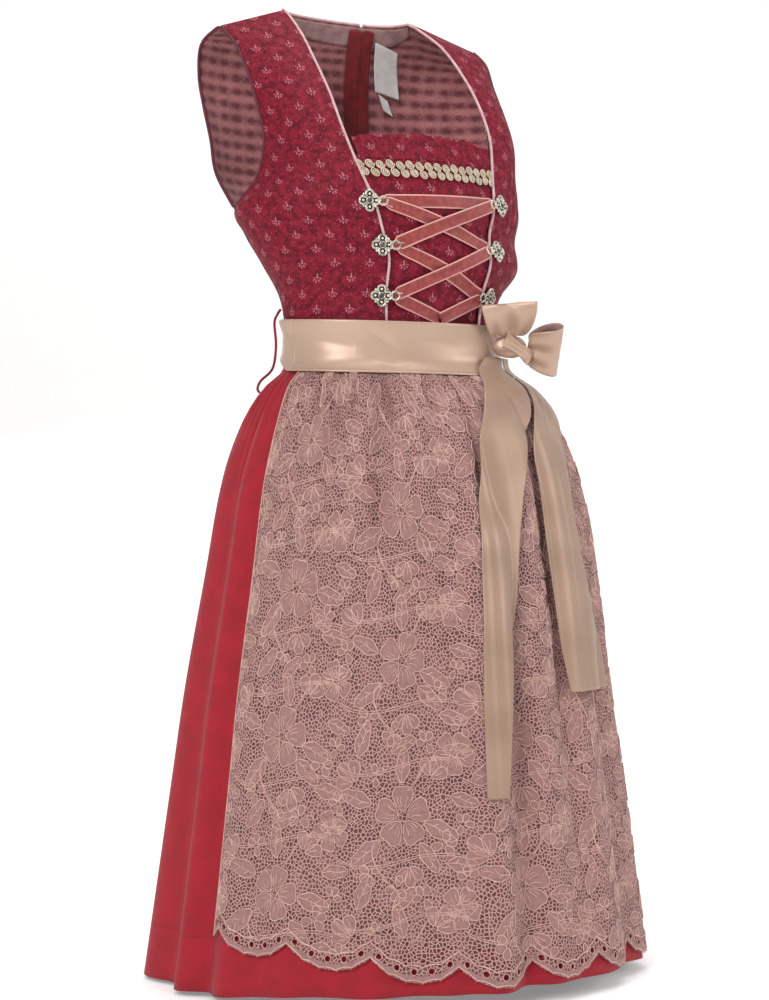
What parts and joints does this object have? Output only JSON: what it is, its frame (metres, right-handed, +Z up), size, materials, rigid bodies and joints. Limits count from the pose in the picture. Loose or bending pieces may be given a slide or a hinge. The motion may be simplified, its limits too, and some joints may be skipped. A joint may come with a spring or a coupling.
{
  "type": "dirndl",
  "caption": "Worn hollow dirndl: laced bodice with hooks, gathered midi skirt, and a lace apron with a satin band and bow.",
  "frame": {"origin": "midway between the two shoulder neck points, where the wearer's shoulders hold the dress up", "axes": "+Z up, -Y towards the front, +X towards the wearer's left"},
  "size_m": [0.5911, 0.5386, 1.109],
  "materials": {
    "print": "woven cotton with a small woven motif",
    "piping": "satin piping",
    "binding": "folded cloth binding",
    "facing": "plain cotton facing",
    "zip": "woven zip tape",
    "label": "plain woven label",
    "braid": "raised scroll braid",
    "silver": "antique silver, pressed",
    "ribbon": "sheer organza ribbon",
    "satin": "champagne satin",
    "skirt": "plain woven skirt cloth",
    "lace": "corded lace",
    "lining": "plain lining cloth"
  },
  "bodies": {
    "root": {"bodice_front_right": "print", "bodice_front_left": "print", "bodice_back_right": "print", "bodice_back_left": "print", "bodice_insert": "print", "insert_ruffle": "print", "insert_braid": "braid", "piping_right": "piping", "piping_left": "piping", "armhole_binding_right": "binding", "armhole_binding_left": "binding", "neck_facing": "facing", "zip_tape": "zip", "neck_label": "label", "size_label": "label", "hook_right_1": "silver", "hook_right_2": "silver", "hook_right_3": "silver", "hook_left_1": "silver", "hook_left_2": "silver", "hook_left_3": "silver", "lacing_1": "ribbon", "lacing_2": "ribbon", "lacing_3": "ribbon", "lacing_4": "ribbon", "lacing_5": "ribbon", "lacing_6": "ribbon", "lacing_7": "ribbon", "skirt_front": "skirt", "skirt_back": "skirt", "apron_lining": "lining", "apron_lace": "lace", "apron_band": "satin", "apron_tie": "satin", "bow_knot": "satin", "bow_loop_front": "satin", "bow_loop_side": "satin", "bow_tail_front": "satin", "bow_tail_side": "satin", "belt_loop_right": "skirt", "belt_loop_left": "skirt"}
  },
  "joints": []
}
